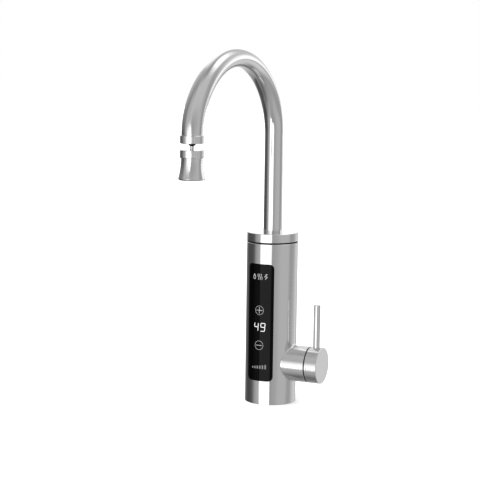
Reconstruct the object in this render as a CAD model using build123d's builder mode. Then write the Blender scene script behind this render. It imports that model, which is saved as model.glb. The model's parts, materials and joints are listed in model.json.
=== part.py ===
from build123d import *
from math import cos, pi, radians, sin
import os

# Electric instant water heater tap, in millimetres
# The deck face is z = 0, the display and the spout face -Y, and the valve branch points to +X,
# turned a little towards +Y

# Body tube and its cap
body_radius = 27.5
shell_wall = 1.2
shell_top = 172.8
cap_bottom = 174.2
cap_top = 183.5
cap_spigot_wall = 2.6
cap_spigot_low = 168.0
seal_ring_inset = 0.3
edge_break = 0.35

# Fits
running_gap = 0.08
loose_gap = 0.3
seat_gap = 0.1
axial_gap = 0.05

# Window and display
window_width = 30.0
window_low = 25.4
window_high = 151.75
window_corner = 5.0
pane_lap = 2.0
pane_back_radius = 25.0
board_width = 26.0
board_low = 30.0
board_high = 147.0
board_front = 20.0
board_thickness = 1.2
digits_width = 16.0
digits_height = 14.0
digits_middle = 84.0
digits_front = 23.5
key_heights = (102.3, 64.5)
key_pad_radius = 4.0
key_pad_front = 24.4

# Control board in its frame
frame_width = 28.4
frame_front = 18.6
frame_back = 12.8
frame_low = 86.0
frame_high = 150.0
frame_bar = 2.0
control_front = 16.0
control_thickness = 1.6
component_front = 18.4
component_sizes = ((10.0, 10.0, -4.0, 120.0), (14.0, 6.0, 3.0, 136.0), (8.0, 12.0, 5.0, 98.0))

# Side branch, knob and lever
branch_turn = 4.5
branch_height = 43.0
branch_radius = 19.4
branch_end = 45.4
branch_fillet = 1.2
seam_ring_radius = 19.2
seam_ring_bore = 16.0
seam_ring_width = 0.8
knob_start = 46.4
knob_end = 59.9
knob_round = 0.6
knob_hollow_radius = 16.5
knob_hollow_end = 48.8
knob_hub_radius = 8.5
knob_hub_start = 46.9
lever_place = 52.9
lever_radius = 3.67
lever_top = 108.2
lever_foot = 59.4
lever_tenon_radius = 3.0
lever_tenon_foot = 51.0
set_screw_radius = 2.0
set_screw_length = 6.0
set_screw_socket = 1.0

# Valve
valve_radius = 15.5
valve_start = -8.0
valve_flange_start = 40.4
valve_flange_radius = 18.05
valve_cavity_radius = 12.6
valve_cavity_start = 10.0
cartridge_radius = 12.5
cartridge_bore = 9.8
cartridge_floor = 17.5
cartridge_neck_radius = 9.0
cartridge_neck_end = 45.6
fixed_disc_thickness = 2.5
fixed_disc_radius = 12.4
moving_disc_radius = 9.5
moving_disc_end = 15.0
moving_disc_segment = 7.5
nut_bore = 9.3
nut_radius = 12.55
spindle_radius = 5.0
spindle_flange_radius = 8.0
spindle_flange_end = 17.0
spindle_end = 57.5
spindle_groove_place = 38.0
spindle_groove_width = 1.8
spindle_groove_radius = 3.9
port_radius = 2.8
inlet_port = (6.5, 37.8)
outlet_port = (-3.0, 46.8)
outlet_boss = (0.0, -3.0)
outlet_boss_radius = 7.0
outlet_boss_top = 62.0
outlet_bore = 4.0
outlet_bore_low = 44.0
inlet_boss_radius = 10.5
inlet_boss_low = 17.0
inlet_bore = 6.0
inlet_bore_top = 41.0

# Inlet socket, with the wall radius of a tapped half-inch pipe thread
inlet_place = (0.0, 10.3)
thread_radius = 9.316
thread_length = 13.0
socket_radius = 11.2
socket_top = 16.6
filter_radius = 9.7
filter_thickness = 1.6
filter_hole_radius = 0.6
filter_ring_radii = (0.0, 2.2, 4.4)
filter_ring_counts = (1, 6, 12)
stub_radius = 8.0
stub_top = 23.0
stub_groove_low = 19.0
stub_groove_width = 1.8
stub_groove_radius = 6.9

# Base
plate_radius = 26.2
plate_thickness = 6.0
plate_rim = 10.0
plate_rim_bore = 19.6
gasket_radius = 26.15
gasket_bore = 19.9
gasket_thickness = 1.5
socket_boss_radius = 13.2
gland_place = (0.0, -8.0)
gland_radius = 5.0
gland_bore = 4.1
gland_flange_radius = 6.6
gland_flange_thickness = 1.5
gland_tail_radius = 5.4
gland_top = 20.0
gland_boss_radius = 6.8
lug_count = 4
lug_angle = 45.0
lug_inner = 19.8
lug_outer = 26.8
lug_width = 8.0
lug_top = 14.0
screw_circle = 23.0
screw_radius = 1.5
screw_head_radius = 2.75
screw_head_top = 4.5
screw_tip = 13.5
screw_slot = 0.8
pad_size = (5.5, 12.0)
pad_centre = (-16.25, 0.0)
pad_top = 12.6
terminal_size = (9.5, 16.0, 10.4)
terminal_centre = (-18.25, 0.0)
terminal_hole_radius = 1.6
terminal_spacing = 5.0

# Heating chamber
chamber_centre = (0.0, 7.5)
chamber_radius = 16.5
chamber_bore = 14.5
chamber_low = 84.0
chamber_floor = 87.0
chamber_top = 142.0
chamber_inlet_radius = 3.0
chamber_pad = (16.0, 16.0)
chamber_pad_front = 10.0
chamber_pad_height = 104.0
gasket_height = 0.8
lid_radius = 18.4
lid_low = 135.0
lid_top = 149.5
lid_neck_radius = 9.5
lid_neck_top = 155.3
lid_neck_bore = 7.05
lid_passage = 4.5
element_radius = 3.25
element_legs = ((9.0, 7.0), (6.0, 14.5))
element_low = 78.0
element_leg_top = 118.0
terminal_pin_radius = 1.5
terminal_pin_low = 70.0
cutout_radius = 7.5
cutout_front = 13.0
probe_place = (-8.0, 14.0)
probe_radius = 1.9
probe_low = 133.0
probe_head_radius = 3.5
probe_head_top = 153.0
earth_place = (9.0, 16.0)
earth_radius = 1.5
earth_low = 145.0
earth_head_radius = 2.9
earth_head_top = 152.0
triac_size = (4.5, 10.0, 15.0)
triac_centre = (-5.2, 43.0)

# Flow switch
flow_radius = 7.0
flow_bore = 5.1
flow_bore_low = 64.0
flow_bore_high = 82.0
float_radius = 5.0
float_low = 64.05
float_high = 75.0
float_magnet_radius = 2.2

# Spout bearing
spout_socket_radius = 15.5
spout_socket_low = 155.5
spout_flange_radius = 22.0
spout_flange_low = 170.2
bearing_floor = 157.0
bearing_radius = 10.0
bearing_high = 166.0
counterbore_radius = 13.6
counterbore_low = 169.4
outlet_stub_low = 149.5
outlet_stub_radius = 7.0
outlet_stub_bore = 4.5
stub_seal_low = 151.5
stub_seal_width = 1.8
stub_seal_inner = 5.9
washer_radius = 13.4
lower_washer_top = 170.4
upper_washer_low = 172.7
spout_collar_radius = 13.0
spout_collar_low = 170.45
spout_collar_high = 172.65
nipple_radius = 9.92
nipple_low = 157.5
nipple_top = 176.0
nipple_bore = 6.0
nipple_groove_radius = 8.2
nipple_groove_width = 1.9
nipple_groove_lows = (159.0, 162.2)
flange_screw_circle = 18.7
flange_screw_count = 3
flange_screw_head_low = 167.4
flange_screw_tip = 178.2

# Spout tube, whose bends are a little flattened
riser_radius = 10.0
tip_radius = 10.5
spout_wall = 1.0
riser_foot = 166.0
riser_top = 288.1
first_bend_radius = 74.0
first_bend_angle = 34.0
crown_radius = 87.35
crown_angle = 116.6
last_bend_radius = 58.0
half_turn = 180.0
bend_flattening = 0.08
flattening_rise = 2.0
arch_sections = 17

# Outlet collar and ball joint
collar_radius = 11.85
collar_top = 294.7
collar_bottom = 286.85
collar_web_top = 288.25
collar_seat_top = 291.1
tube_end = 291.15
seat_bore_radius = 8.1
seat_radius = 8.0
seat_low = 288.35
seat_high = 291.0
ball_radius = 4.3
ball_height = 288.1
flute_count = 36
flute_radius = 0.45
flute_depth = 0.06
flute_margin = 0.9

# Spray head
stem_radius = 1.85
stem_bore = 1.1
stem_top = 287.0
stem_flange_radius = 6.0
stem_flange_low = 276.3
ring_top = 280.7
ring_bottom = 272.85
ring_wall_low = 278.3
ring_bore = 9.8
bell_neck_radius = 9.75
bell_neck_bore = 8.4
bell_neck_top = 276.3
bell_waist_radius = 10.7
bell_lip_radius = 13.45
bell_lip_height = 253.0
bell_flare_radius = 73.0
bell_bottom = 251.3
bell_mouth_radius = 11.6
bell_mouth_top = 256.0
bell_throat_radius = 8.9
bell_throat_height = 270.0
core_radius = 8.3
core_low = 270.2
core_high = 275.0
core_hole_radius = 1.1
core_hole_circle = 5.6
core_hole_count = 10
spray_radius = 11.55
spray_low = 252.6
spray_high = 254.4
spray_hole_radius = 0.6
spray_rings = (3.2, 6.0, 8.8)
spray_counts = (6, 12, 18)

body_bore = body_radius - shell_wall
control_board_width = frame_width - 2 * frame_bar - 2 * seat_gap
control_board_height = frame_high - frame_low - 2 * frame_bar - 2 * seat_gap
middle = (0, 0)
valve_axis = (0, branch_height)


def level(height):
    # The horizontal plane at a height
    return Plane.XY.offset(height)


def across(place):
    # The upright plane square to the valve's axis
    return Plane.YZ.rotated((0, 0, branch_turn)).offset(place)


def under_axis(place):
    # The point of the deck under a place on the valve's axis
    turn = radians(branch_turn)
    return (place * cos(turn), place * sin(turn))


def bar(plane, centre, radius, length, mode=Mode.ADD):
    # A round bar that stands on a plane
    with BuildSketch(plane) as section:
        with Locations(centre):
            Circle(radius)
    extrude(section.sketch, amount=length, mode=mode)


def ring(plane, centre, outer, inner, length, mode=Mode.ADD):
    # A tube or washer that stands on a plane
    with BuildSketch(plane) as section:
        with Locations(centre):
            Circle(outer)
            Circle(inner, mode=Mode.SUBTRACT)
    extrude(section.sketch, amount=length, mode=mode)


def block(plane, centre, size, length, mode=Mode.ADD):
    # A square-edged block that stands on a plane
    with BuildSketch(plane) as section:
        with Locations(centre):
            Rectangle(*size)
    extrude(section.sketch, amount=length, mode=mode)


def bars_on_circle(plane, centre, circle, count, radius, length, turn=0.0, mode=Mode.ADD):
    # Equal round bars, evenly spaced on a circle
    with BuildSketch(plane) as section:
        with Locations(centre):
            with PolarLocations(circle, count, start_angle=turn):
                Circle(radius)
    extrude(section.sketch, amount=length, mode=mode)


def flutes(centre, low, high):
    # The grip flutes round a knurled ring
    circle = collar_radius + flute_radius - flute_depth
    length = high - low - 2 * flute_margin
    bars_on_circle(level(low + flute_margin), centre, circle, flute_count, flute_radius, length,
                   mode=Mode.SUBTRACT)


def outline_through(lap, depth):
    # The window's outline, enlarged by the lap, cut from the axis out to the front
    with BuildSketch(Plane.XZ) as outline:
        with Locations((0, (window_low + window_high) / 2)):
            RectangleRounded(window_width + 2 * lap, window_high - window_low + 2 * lap,
                             window_corner + lap)
    return extrude(outline.sketch, amount=depth, mode=Mode.PRIVATE)


# Housing: a tube with a filleted branch, a window and four lugs for the base screws
with BuildPart() as housing_shell:
    bar(level(0), middle, body_radius, shell_top)
    bar(across(0), valve_axis, branch_radius, branch_end)
    junction = housing_shell.edges().filter_by(GeomType.CIRCLE, reverse=True)
    fillet(junction.filter_by(GeomType.LINE, reverse=True), branch_fillet)
    rims = housing_shell.edges().filter_by(GeomType.CIRCLE)
    chamfer(rims.group_by(Axis.Z)[-1] + rims.group_by(Axis.X)[-1], edge_break)
    bar(level(0), middle, body_bore, shell_top, Mode.SUBTRACT)
    bar(across(0), valve_axis, branch_radius - shell_wall, branch_end, Mode.SUBTRACT)
    add(outline_through(0, body_radius + shell_wall), mode=Mode.SUBTRACT)
    with BuildSketch(level(plate_rim)) as lugs:
        with PolarLocations((lug_inner + lug_outer) / 2, lug_count, start_angle=lug_angle):
            Rectangle(lug_outer - lug_inner, lug_width)
    extrude(amount=lug_top - plate_rim)
    bars_on_circle(level(plate_rim), middle, screw_circle, lug_count, screw_radius,
                   lug_top - plate_rim, lug_angle, Mode.SUBTRACT)
housing_shell.part.label = "housing_shell"

# Cap: a disc with a spigot that centres it in the body tube
with BuildPart() as top_cap:
    bar(level(cap_bottom), middle, body_radius, cap_top - cap_bottom)
    chamfer(top_cap.edges().filter_by(GeomType.CIRCLE), edge_break)
    ring(level(cap_spigot_low), middle, body_bore - seat_gap, body_bore - seat_gap - cap_spigot_wall,
         cap_bottom - cap_spigot_low)
    bar(level(cap_bottom), middle, riser_radius + running_gap, cap_top - cap_bottom, Mode.SUBTRACT)
    bars_on_circle(level(cap_bottom), middle, flange_screw_circle, flange_screw_count, screw_radius,
                   flange_screw_tip - cap_bottom, mode=Mode.SUBTRACT)
top_cap.part.label = "top_cap"

with BuildPart() as cap_seal_ring:
    ring(level(shell_top), middle, body_radius - seal_ring_inset, body_bore - axial_gap,
         cap_bottom - shell_top)
cap_seal_ring.part.label = "cap_seal_ring"

# Display pane: its face fills the window and its lap bears on the wall from inside
with BuildPart() as pane_shoulder:
    ring(level(0), middle, body_radius + shell_wall, body_bore - seat_gap, shell_top)
    add(outline_through(-seat_gap, body_radius + shell_wall), mode=Mode.SUBTRACT)

with BuildPart() as display_window:
    ring(level(0), middle, body_radius - axial_gap, pane_back_radius, shell_top)
    add(outline_through(pane_lap, body_radius), mode=Mode.INTERSECT)
    add(pane_shoulder.part, mode=Mode.SUBTRACT)
display_window.part.label = "display_window"

with BuildPart() as display_board:
    with BuildSketch(Plane.XZ.offset(board_front - board_thickness)):
        with Locations((0, (board_low + board_high) / 2)):
            Rectangle(board_width, board_high - board_low)
    extrude(amount=board_thickness)
display_board.part.label = "display_board"

with BuildPart() as digit_module:
    block(Plane.XZ.offset(board_front), (0, digits_middle), (digits_width, digits_height),
          digits_front - board_front)
digit_module.part.label = "digit_module"

with BuildPart() as touch_pads:
    for key_height in key_heights:
        bar(Plane.XZ.offset(board_front), (0, key_height), key_pad_radius, key_pad_front - board_front)
touch_pads.part.label = "touch_pads"

with BuildPart() as board_bracket:
    with BuildSketch(Plane.XZ.offset(frame_back)):
        with Locations((0, (frame_low + frame_high) / 2)):
            Rectangle(frame_width, frame_high - frame_low)
            Rectangle(frame_width - 2 * frame_bar, frame_high - frame_low - 2 * frame_bar,
                      mode=Mode.SUBTRACT)
    extrude(amount=frame_front - frame_back)
board_bracket.part.label = "board_bracket"

with BuildPart() as control_board:
    block(Plane.XZ.offset(control_front - control_thickness), (0, (frame_low + frame_high) / 2),
          (control_board_width, control_board_height), control_thickness)
control_board.part.label = "control_board"

with BuildPart() as control_components:
    for width, height, sideways, upright in component_sizes:
        block(Plane.XZ.offset(control_front), (sideways, upright), (width, height),
              component_front - control_front)
control_components.part.label = "control_components"

# Valve body: a round casting with a flange at the branch's mouth and two bosses
with BuildPart() as valve_body:
    bar(across(valve_start), valve_axis, valve_radius, valve_flange_start - valve_start)
    bar(across(valve_flange_start), valve_axis, valve_flange_radius, branch_end - valve_flange_start)
    bar(level(inlet_boss_low), inlet_place, inlet_boss_radius, branch_height - inlet_boss_low)
    bar(level(branch_height), outlet_boss, outlet_boss_radius, outlet_boss_top - branch_height)
    bar(across(valve_cavity_start), valve_axis, valve_cavity_radius, branch_end - valve_cavity_start,
        Mode.SUBTRACT)
    bar(level(inlet_boss_low), inlet_place, inlet_bore, inlet_bore_top - inlet_boss_low, Mode.SUBTRACT)
    bar(level(inlet_boss_low), inlet_place, stub_radius + axial_gap, stub_top - inlet_boss_low + loose_gap,
        Mode.SUBTRACT)
    bar(level(outlet_bore_low), outlet_boss, outlet_bore, outlet_boss_top - outlet_bore_low, Mode.SUBTRACT)
    for port in (inlet_port, outlet_port):
        bar(across(0), port, port_radius, valve_cavity_start, Mode.SUBTRACT)
valve_body.part.label = "valve_body"

with BuildPart() as fixed_disc:
    bar(across(valve_cavity_start), valve_axis, fixed_disc_radius, fixed_disc_thickness)
    for port in (inlet_port, outlet_port):
        bar(across(valve_cavity_start), port, port_radius, fixed_disc_thickness, Mode.SUBTRACT)
fixed_disc.part.label = "fixed_disc"

cartridge_start = valve_cavity_start + fixed_disc_thickness

with BuildPart() as moving_disc:
    disc_start = cartridge_start + axial_gap
    bar(across(disc_start), valve_axis, moving_disc_radius, moving_disc_end - disc_start)
    block(across(disc_start), (0, branch_height - moving_disc_radius),
          (2 * moving_disc_radius, moving_disc_segment), moving_disc_end - disc_start, Mode.SUBTRACT)
moving_disc.part.label = "moving_disc"

with BuildPart() as valve_cartridge:
    bar(across(cartridge_start), valve_axis, cartridge_radius, valve_flange_start - cartridge_start)
    bar(across(valve_flange_start), valve_axis, cartridge_neck_radius,
        cartridge_neck_end - valve_flange_start)
    bar(across(cartridge_start), valve_axis, cartridge_bore, cartridge_floor - cartridge_start,
        Mode.SUBTRACT)
    bar(across(cartridge_floor), valve_axis, spindle_radius + running_gap,
        cartridge_neck_end - cartridge_floor, Mode.SUBTRACT)
valve_cartridge.part.label = "valve_cartridge"

with BuildPart() as cartridge_nut:
    ring(across(valve_flange_start), valve_axis, nut_radius, nut_bore, branch_end - valve_flange_start)
cartridge_nut.part.label = "cartridge_nut"

with BuildPart() as branch_seam_ring:
    ring(across(branch_end), valve_axis, seam_ring_radius, seam_ring_bore, seam_ring_width)
branch_seam_ring.part.label = "branch_seam_ring"

with BuildPart() as triac:
    depth, width, height = triac_size
    block(across(valve_start - depth), triac_centre, (width, height), depth)
triac.part.label = "triac"

# Handle: spindle, seal, knob, set screw and lever
with BuildPart() as cartridge_spindle:
    flange_start = moving_disc_end
    bar(across(flange_start), valve_axis, spindle_flange_radius, spindle_flange_end - flange_start)
    bar(across(flange_start), valve_axis, spindle_radius, spindle_end - flange_start)
    ring(across(spindle_groove_place), valve_axis, spindle_radius, spindle_groove_radius,
         spindle_groove_width, Mode.SUBTRACT)
cartridge_spindle.part.label = "cartridge_spindle"

with BuildPart() as spindle_seal:
    ring(across(spindle_groove_place), valve_axis, spindle_radius, spindle_groove_radius,
         spindle_groove_width)
spindle_seal.part.label = "spindle_seal"

with BuildPart() as handle_knob:
    bar(across(knob_start), valve_axis, branch_radius, knob_end - knob_start)
    knob_rims = handle_knob.edges().filter_by(GeomType.CIRCLE).sort_by(Axis.X)
    fillet(knob_rims[-1], knob_round)
    chamfer(knob_rims[0], edge_break)
    ring(across(knob_start), valve_axis, knob_hollow_radius, knob_hub_radius,
         knob_hollow_end - knob_start, Mode.SUBTRACT)
    bar(across(knob_start), valve_axis, knob_hub_radius, knob_hub_start - knob_start, Mode.SUBTRACT)
    bar(across(knob_start), valve_axis, spindle_radius, spindle_end - knob_start, Mode.SUBTRACT)
    bar(level(lever_foot), under_axis(lever_place), lever_radius, branch_radius, Mode.SUBTRACT)
    bar(level(lever_tenon_foot), under_axis(lever_place), lever_tenon_radius, branch_radius, Mode.SUBTRACT)
    bar(level(branch_height - branch_radius), under_axis(lever_place), set_screw_radius,
        branch_radius - spindle_radius, Mode.SUBTRACT)
handle_knob.part.label = "handle_knob"

with BuildPart() as knob_set_screw:
    screw_low = branch_height - spindle_radius - set_screw_length
    bar(level(screw_low), under_axis(lever_place), set_screw_radius, set_screw_length)
    with BuildSketch(level(screw_low)):
        with Locations(under_axis(lever_place)):
            RegularPolygon(set_screw_socket, 6)
    extrude(amount=set_screw_length / 2, mode=Mode.SUBTRACT)
knob_set_screw.part.label = "knob_set_screw"

with BuildPart() as lever_rod:
    bar(level(lever_tenon_foot), under_axis(lever_place), lever_tenon_radius, lever_foot - lever_tenon_foot)
    bar(level(lever_foot), under_axis(lever_place), lever_radius, lever_top - lever_foot)
    chamfer(lever_rod.edges().sort_by(Axis.Z)[-1], edge_break)
lever_rod.part.label = "lever_rod"

# Inlet socket, filter and seal
with BuildPart() as inlet_socket:
    bar(level(0), inlet_place, socket_radius, socket_top)
    bar(level(socket_top), inlet_place, stub_radius, stub_top - socket_top)
    bar(level(0), inlet_place, thread_radius, thread_length, Mode.SUBTRACT)
    bar(level(thread_length), inlet_place, filter_radius, filter_thickness, Mode.SUBTRACT)
    bar(level(0), inlet_place, inlet_bore, stub_top, Mode.SUBTRACT)
    ring(level(stub_groove_low), inlet_place, stub_radius, stub_groove_radius, stub_groove_width,
         Mode.SUBTRACT)
inlet_socket.part.label = "inlet_socket"

with BuildPart() as inlet_seal:
    ring(level(stub_groove_low), inlet_place, stub_radius + axial_gap, stub_groove_radius,
         stub_groove_width)
inlet_seal.part.label = "inlet_seal"

with BuildPart() as inlet_filter:
    bar(level(thread_length), inlet_place, filter_radius, filter_thickness)
    for circle, count in zip(filter_ring_radii, filter_ring_counts):
        bars_on_circle(level(thread_length), inlet_place, circle, count, filter_hole_radius,
                       filter_thickness, mode=Mode.SUBTRACT)
inlet_filter.part.label = "inlet_filter"

# Base plate with its gasket, screws, cord gland and mains terminals
with BuildPart() as base_plate:
    bar(level(0), middle, plate_radius, plate_thickness)
    ring(level(plate_thickness), middle, plate_radius, plate_rim_bore, plate_rim - plate_thickness)
    bar(level(plate_thickness), inlet_place, socket_boss_radius, plate_rim - plate_thickness)
    bar(level(plate_thickness), gland_place, gland_boss_radius, plate_rim - plate_thickness)
    block(level(plate_thickness), pad_centre, pad_size, pad_top - plate_thickness)
    ring(level(0), middle, plate_radius, gasket_bore - seat_gap, gasket_thickness, Mode.SUBTRACT)
    bar(level(0), inlet_place, socket_radius, plate_rim, Mode.SUBTRACT)
    bar(level(0), gland_place, gland_radius, plate_rim, Mode.SUBTRACT)
    bars_on_circle(level(0), middle, screw_circle, lug_count, screw_radius, plate_rim, lug_angle,
                   Mode.SUBTRACT)
    bars_on_circle(level(0), middle, screw_circle, lug_count, screw_head_radius, screw_head_top,
                   lug_angle, Mode.SUBTRACT)
base_plate.part.label = "base_plate"

with BuildPart() as base_gasket:
    ring(level(0), middle, gasket_radius, gasket_bore, gasket_thickness)
    bar(level(0), inlet_place, socket_radius + seat_gap, gasket_thickness, Mode.SUBTRACT)
base_gasket.part.label = "base_gasket"

with BuildPart() as base_screws:
    bars_on_circle(level(gasket_thickness), middle, screw_circle, lug_count, screw_head_radius,
                   screw_head_top - gasket_thickness, lug_angle)
    bars_on_circle(level(screw_head_top), middle, screw_circle, lug_count, screw_radius,
                   screw_tip - screw_head_top, lug_angle)
    with BuildSketch(level(gasket_thickness)):
        with PolarLocations(screw_circle, lug_count, start_angle=lug_angle):
            Rectangle(2 * screw_head_radius, screw_slot)
    extrude(amount=screw_slot, mode=Mode.SUBTRACT)
base_screws.part.label = "base_screws"

with BuildPart() as cord_gland:
    bar(level(0), gland_place, gland_radius, plate_rim)
    bar(level(plate_rim), gland_place, gland_flange_radius, gland_flange_thickness)
    bar(level(plate_rim), gland_place, gland_tail_radius, gland_top - plate_rim)
    bar(level(0), gland_place, gland_bore, gland_top, Mode.SUBTRACT)
cord_gland.part.label = "cord_gland"

with BuildPart() as terminal_block:
    block(level(pad_top), terminal_centre, terminal_size[:2], terminal_size[2])
    with BuildSketch(level(pad_top)):
        with Locations(terminal_centre):
            with GridLocations(0, terminal_spacing, 1, 3):
                Circle(terminal_hole_radius)
    extrude(amount=terminal_size[2], mode=Mode.SUBTRACT)
terminal_block.part.label = "terminal_block"

# Flow switch under the chamber, with its float
with BuildPart() as flow_switch_body:
    bar(level(outlet_boss_top), outlet_boss, flow_radius, chamber_low - outlet_boss_top)
    bar(level(outlet_boss_top), outlet_boss, outlet_bore, flow_bore_high - outlet_boss_top, Mode.SUBTRACT)
    bar(level(flow_bore_low), outlet_boss, flow_bore, flow_bore_high - flow_bore_low, Mode.SUBTRACT)
    bar(level(flow_bore_high), outlet_boss, chamber_inlet_radius, chamber_low - flow_bore_high,
        Mode.SUBTRACT)
flow_switch_body.part.label = "flow_switch_body"

with BuildPart() as flow_float:
    bar(level(float_low), outlet_boss, float_radius, float_high - float_low)
    bar(level(float_low), outlet_boss, float_magnet_radius, float_high - float_low, Mode.SUBTRACT)
flow_float.part.label = "flow_float"

# Heating chamber with its lid, elements and sensors
with BuildPart() as heating_chamber:
    bar(level(chamber_low), chamber_centre, chamber_radius, chamber_top - chamber_low)
    with BuildSketch(Plane.XZ):
        with Locations((0, chamber_pad_height)):
            Rectangle(*chamber_pad)
    extrude(amount=chamber_pad_front)
    bar(level(chamber_floor), chamber_centre, chamber_bore, chamber_top - chamber_floor, Mode.SUBTRACT)
    bar(level(chamber_low), outlet_boss, chamber_inlet_radius, chamber_floor - chamber_low, Mode.SUBTRACT)
    for half_width, back in element_legs:
        for side in (-half_width, half_width):
            bar(level(chamber_low), (side, back), element_radius, chamber_floor - chamber_low,
                Mode.SUBTRACT)
heating_chamber.part.label = "heating_chamber"

with BuildPart() as chamber_gasket:
    ring(level(chamber_top), chamber_centre, chamber_radius, chamber_bore, gasket_height)
chamber_gasket.part.label = "chamber_gasket"

with BuildPart() as chamber_lid:
    bar(level(lid_low), chamber_centre, lid_radius, lid_top - lid_low)
    bar(level(lid_low), chamber_centre, chamber_radius, chamber_top + gasket_height - lid_low,
        Mode.SUBTRACT)
    bar(level(lid_top), middle, lid_neck_radius, lid_neck_top - lid_top)
    bar(level(lid_top), middle, lid_neck_bore, lid_neck_top - lid_top, Mode.SUBTRACT)
    bar(level(chamber_top), middle, lid_passage, lid_top - chamber_top, Mode.SUBTRACT)
    bar(level(chamber_top), probe_place, probe_radius, lid_top - chamber_top, Mode.SUBTRACT)
    bar(level(earth_low), earth_place, earth_radius, lid_top - earth_low, Mode.SUBTRACT)
chamber_lid.part.label = "chamber_lid"


def hairpin(half_width, back):
    # One heating rod bent into a U, standing in an upright plane
    with BuildLine(Plane.XZ.offset(-back)) as route:
        left = Line((-half_width, element_low), (-half_width, element_leg_top))
        bend = JernArc(left @ 1, left % 1, half_width, -half_turn)
        Line(bend @ 1, (bend @ 1) - Vector(0, 0, element_leg_top - element_low))
    with BuildSketch(Plane(left @ 0, z_dir=left % 0)) as section:
        Circle(element_radius)
    return sweep(section.sketch, path=route.wire(), mode=Mode.PRIVATE)


with BuildPart() as heating_element:
    for half_width, back in element_legs:
        add(hairpin(half_width, back))
heating_element.part.label = "heating_element"

with BuildPart() as element_terminals:
    for half_width, back in element_legs:
        for side in (-half_width, half_width):
            bar(level(terminal_pin_low), (side, back), terminal_pin_radius, element_low - terminal_pin_low)
element_terminals.part.label = "element_terminals"

with BuildPart() as thermal_cutout:
    bar(Plane.XZ.offset(chamber_pad_front), (0, chamber_pad_height), cutout_radius,
        cutout_front - chamber_pad_front)
thermal_cutout.part.label = "thermal_cutout"

with BuildPart() as temperature_probe:
    bar(level(probe_low), probe_place, probe_radius, lid_top - probe_low)
    with BuildSketch(level(lid_top)):
        with Locations(probe_place):
            RegularPolygon(probe_head_radius, 6)
    extrude(amount=probe_head_top - lid_top)
temperature_probe.part.label = "temperature_probe"

with BuildPart() as earth_screw:
    bar(level(earth_low), earth_place, earth_radius, lid_top - earth_low)
    bar(level(lid_top), earth_place, earth_head_radius, earth_head_top - lid_top)
earth_screw.part.label = "earth_screw"

# Spout bearing under the cap
with BuildPart() as spout_socket:
    bar(level(spout_socket_low), middle, spout_socket_radius, spout_flange_low - spout_socket_low)
    bar(level(spout_flange_low), middle, spout_flange_radius, cap_bottom - spout_flange_low)
    bar(level(outlet_stub_low), middle, outlet_stub_radius, spout_socket_low - outlet_stub_low)
    bar(level(outlet_stub_low), middle, outlet_stub_bore, bearing_floor - outlet_stub_low, Mode.SUBTRACT)
    bar(level(bearing_floor), middle, bearing_radius, bearing_high - bearing_floor, Mode.SUBTRACT)
    bar(level(bearing_high), middle, riser_radius + loose_gap, counterbore_low - bearing_high,
        Mode.SUBTRACT)
    bar(level(counterbore_low), middle, counterbore_radius, cap_bottom - counterbore_low, Mode.SUBTRACT)
    ring(level(stub_seal_low), middle, outlet_stub_radius, stub_seal_inner, stub_seal_width,
         Mode.SUBTRACT)
    bars_on_circle(level(spout_flange_low), middle, flange_screw_circle, flange_screw_count, screw_radius,
                   cap_bottom - spout_flange_low, mode=Mode.SUBTRACT)
spout_socket.part.label = "spout_socket"

with BuildPart() as socket_seal:
    ring(level(stub_seal_low), middle, lid_neck_bore, stub_seal_inner, stub_seal_width)
socket_seal.part.label = "socket_seal"

with BuildPart() as socket_screws:
    bars_on_circle(level(flange_screw_head_low), middle, flange_screw_circle, flange_screw_count,
                   screw_head_radius, spout_flange_low - flange_screw_head_low)
    bars_on_circle(level(spout_flange_low), middle, flange_screw_circle, flange_screw_count,
                   screw_radius, flange_screw_tip - spout_flange_low)
socket_screws.part.label = "socket_screws"

with BuildPart() as slip_washers:
    washer_bore = riser_radius + loose_gap
    ring(level(counterbore_low), middle, washer_radius, washer_bore, lower_washer_top - counterbore_low)
    ring(level(upper_washer_low), middle, washer_radius, washer_bore, cap_bottom - upper_washer_low)
slip_washers.part.label = "slip_washers"

# Spout: the line of its axis is a riser, three arcs that run on from each other, and a short end
with BuildLine(Plane.YZ) as spout_line:
    riser = Line((0, riser_foot), (0, riser_top))
    first_bend = JernArc(riser @ 1, riser % 1, first_bend_radius, first_bend_angle)
    crown = JernArc(first_bend @ 1, first_bend % 1, crown_radius, crown_angle)
    last_bend = JernArc(crown @ 1, crown % 1, last_bend_radius, half_turn - first_bend_angle - crown_angle)

tip_place = (0, (last_bend @ 1).Y)
tip_height = (last_bend @ 1).Z
arch = Wire([first_bend.edge(), crown.edge(), last_bend.edge()])


def arch_tube(inset):
    # The arch as a loft of ovals, each smaller than the outside by the inset
    ovals = []
    for step in range(arch_sections):
        part_way = step / (arch_sections - 1)
        radius = riser_radius + (tip_radius - riser_radius) * part_way
        flattening = bend_flattening * min(1, flattening_rise * sin(pi * part_way))
        across_tube = Plane(arch @ part_way, x_dir=(1, 0, 0), z_dir=arch % part_way)
        with BuildSketch(across_tube) as oval:
            Ellipse(radius * (1 + flattening) - inset, radius * (1 - flattening) - inset)
        ovals.append(oval.sketch.face())
    return loft(ovals, mode=Mode.PRIVATE)


with BuildPart() as spout_tube:
    bar(level(riser_foot), middle, riser_radius, riser_top - riser_foot)
    add(arch_tube(0))
    bar(level(tube_end), tip_place, tip_radius, tip_height - tube_end)
    bar(level(riser_foot), middle, riser_radius - spout_wall, riser_top - riser_foot, Mode.SUBTRACT)
    add(arch_tube(spout_wall), mode=Mode.SUBTRACT)
    bar(level(tube_end), tip_place, tip_radius - spout_wall, tip_height - tube_end, Mode.SUBTRACT)
spout_tube.part.label = "spout_tube"

with BuildPart() as spout_collar:
    ring(level(spout_collar_low), middle, spout_collar_radius, riser_radius,
         spout_collar_high - spout_collar_low)
spout_collar.part.label = "spout_collar"

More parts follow.
